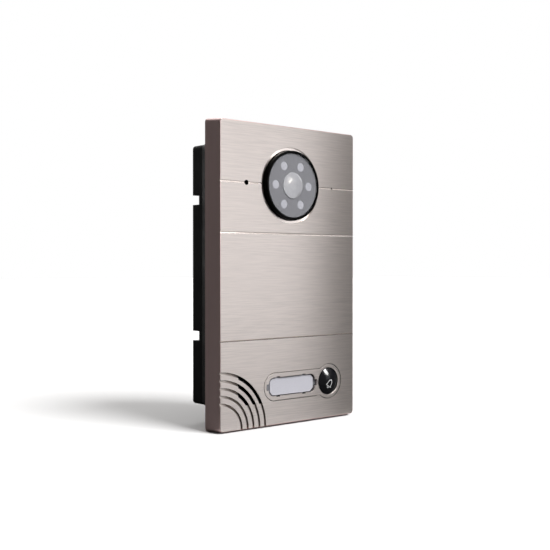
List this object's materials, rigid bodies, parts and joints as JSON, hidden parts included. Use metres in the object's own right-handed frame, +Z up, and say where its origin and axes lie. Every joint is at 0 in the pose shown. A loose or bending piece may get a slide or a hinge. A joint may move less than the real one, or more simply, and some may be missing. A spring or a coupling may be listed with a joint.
{
  "type": "door intercom panel",
  "caption": "Flush-mounted door intercom panel: brushed metal face with camera, infrared lamps, speaker grille, name window and call button over a black rear housing.",
  "frame": {"origin": "middle of the panel's base: centre of the width and of the depth, at the faceplate's bottom edge", "axes": "+Z up, -Y out of the metal face towards the visitor, +X to the viewer's right"},
  "size_m": [0.116, 0.048, 0.192],
  "materials": {
    "brushed_alloy": "horizontally brushed, warm champagne grey, clear anodised",
    "camera_black": "black, satin",
    "camera_window": "clear, glossy",
    "camera_grey": "neutral grey print",
    "lens_cover": "clear with a soft grey cast",
    "led_lens": "milky clear",
    "clear_cover": "clear, glossy",
    "card_paper": "plain white card",
    "diffuser_white": "milky white",
    "button_black": "high gloss black with a printed bell",
    "housing_black": "fine moulded texture",
    "inner_black": "moulded",
    "ribbon_white": "smooth",
    "seal_rubber": "smooth silicone",
    "seal_foam": "closed-cell foam",
    "board_laminate": "green solder mask",
    "bright_steel": "plain zinc-plated steel",
    "jack_shield": "tinned sheet",
    "terminal_green": "moulded",
    "relay_blue": "moulded",
    "capacitor_sleeve": "shrunk sleeve",
    "cone_paper": "pressed paper"
  },
  "bodies": {
    "panel": {"faceplate": "brushed_alloy", "trim_bezel": "brushed_alloy", "camera_barrel": "camera_black", "camera_window": "camera_window", "camera_mask": "camera_grey", "window_gasket": "seal_rubber", "lens_dome": "lens_cover", "lens_barrel": "inner_black", "camera_board": "board_laminate", "camera_ribbon": "ribbon_white", "mic_boot": "seal_rubber", "microphone": "bright_steel", "light_pipe": "clear_cover", "light_sensor": "inner_black", "name_window": "clear_cover", "name_card": "card_paper", "name_gasket": "camera_grey", "light_guide": "diffuser_white", "name_led_left": "diffuser_white", "name_led_right": "diffuser_white", "button_retainer": "inner_black", "call_switch_body": "inner_black", "front_board": "board_laminate", "speaker_gasket": "seal_foam", "speaker_frame": "inner_black", "speaker_magnet": "bright_steel", "rear_housing": "housing_black", "housing_gasket": "seal_rubber", "wall_gasket": "seal_foam", "main_board": "board_laminate", "ethernet_jack": "jack_shield", "terminal_block": "terminal_green", "relay": "relay_blue", "transformer": "inner_black", "capacitor_large": "capacitor_sleeve", "capacitor_small": "capacitor_sleeve", "shield_can": "bright_steel", "board_connector": "inner_black", "tamper_switch": "inner_black", "lock_screw_left": "bright_steel", "lock_screw_right": "bright_steel", "ir_led_1": "led_lens", "ir_led_2": "led_lens", "ir_led_3": "led_lens", "ir_led_4": "led_lens", "ir_led_5": "led_lens", "ir_led_6": "led_lens", "housing_screw_lower_left": "bright_steel", "board_screw_lower_left": "bright_steel", "housing_screw_lower_right": "bright_steel", "board_screw_lower_right": "bright_steel", "housing_screw_upper_left": "bright_steel", "board_screw_upper_left": "bright_steel", "housing_screw_upper_right": "bright_steel", "board_screw_upper_right": "bright_steel"},
    "call_button": {"call_button": "button_black"},
    "call_switch": {"call_switch_plunger": "ribbon_white"},
    "tamper": {"tamper_plunger": "ribbon_white"},
    "speaker_coil": {"speaker_cone": "cone_paper"}
  },
  "joints": [
    {"name": "call_button_press", "type": "slide", "parent": "panel", "child": "call_button", "axis": [0, 1, 0], "range_m": [0, 0.0008], "stiffness_N_per_m": 400, "springref_m": -0.002},
    {"name": "call_switch_press", "type": "slide", "parent": "panel", "child": "call_switch", "axis": [0, 1, 0], "range_m": [0, 0.0008]},
    {"name": "tamper_press", "type": "slide", "parent": "panel", "child": "tamper", "axis": [0, -1, 0], "range_m": [0, 0.0015], "stiffness_N_per_m": 200, "springref_m": -0.002},
    {"name": "speaker_stroke", "type": "slide", "parent": "panel", "child": "speaker_coil", "axis": [0, 1, 0], "range_m": [-0.0004, 0.0004], "stiffness_N_per_m": 500}
  ],
  "couplings": [
    {"joint": "call_switch_press", "follows": "call_button_press", "ratio": 1}
  ]
}
